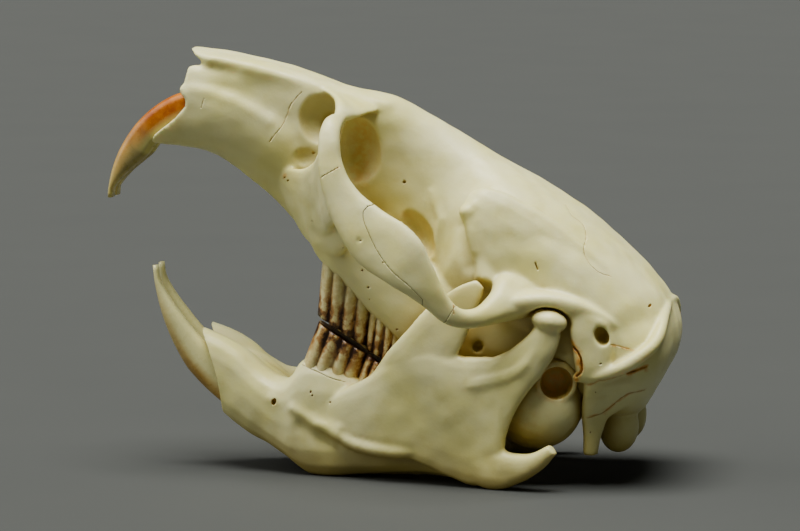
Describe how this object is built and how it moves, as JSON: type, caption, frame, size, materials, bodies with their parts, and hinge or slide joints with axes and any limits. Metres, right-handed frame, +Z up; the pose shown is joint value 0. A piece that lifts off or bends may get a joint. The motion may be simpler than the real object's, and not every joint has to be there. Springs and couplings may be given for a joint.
{
  "type": "muskrat skull",
  "caption": "Life-size adult muskrat skull with both lower jaws and all teeth, mouth open, nose raised, resting on the undersides of its lower jaws.",
  "frame": {"origin": "middle of the footprint's bounding box, on the floor", "axes": "nose towards -X, the animal's left side towards -Y, +Z up"},
  "size_m": [0.0686, 0.0406, 0.0501],
  "materials": {
    "bone": "dry cream bone, slightly greasy sheen",
    "tooth": "cream dentine with orange enamel in front"
  },
  "bodies": {
    "root": {"cranium": "bone", "left_mandible": "bone", "right_mandible": "bone", "left_auditory_bulla": "bone", "right_auditory_bulla": "bone", "left_jugal": "bone", "right_jugal": "bone", "left_upper_incisor": "tooth", "right_upper_incisor": "tooth", "left_lower_incisor": "tooth", "right_lower_incisor": "tooth"}
  },
  "joints": []
}
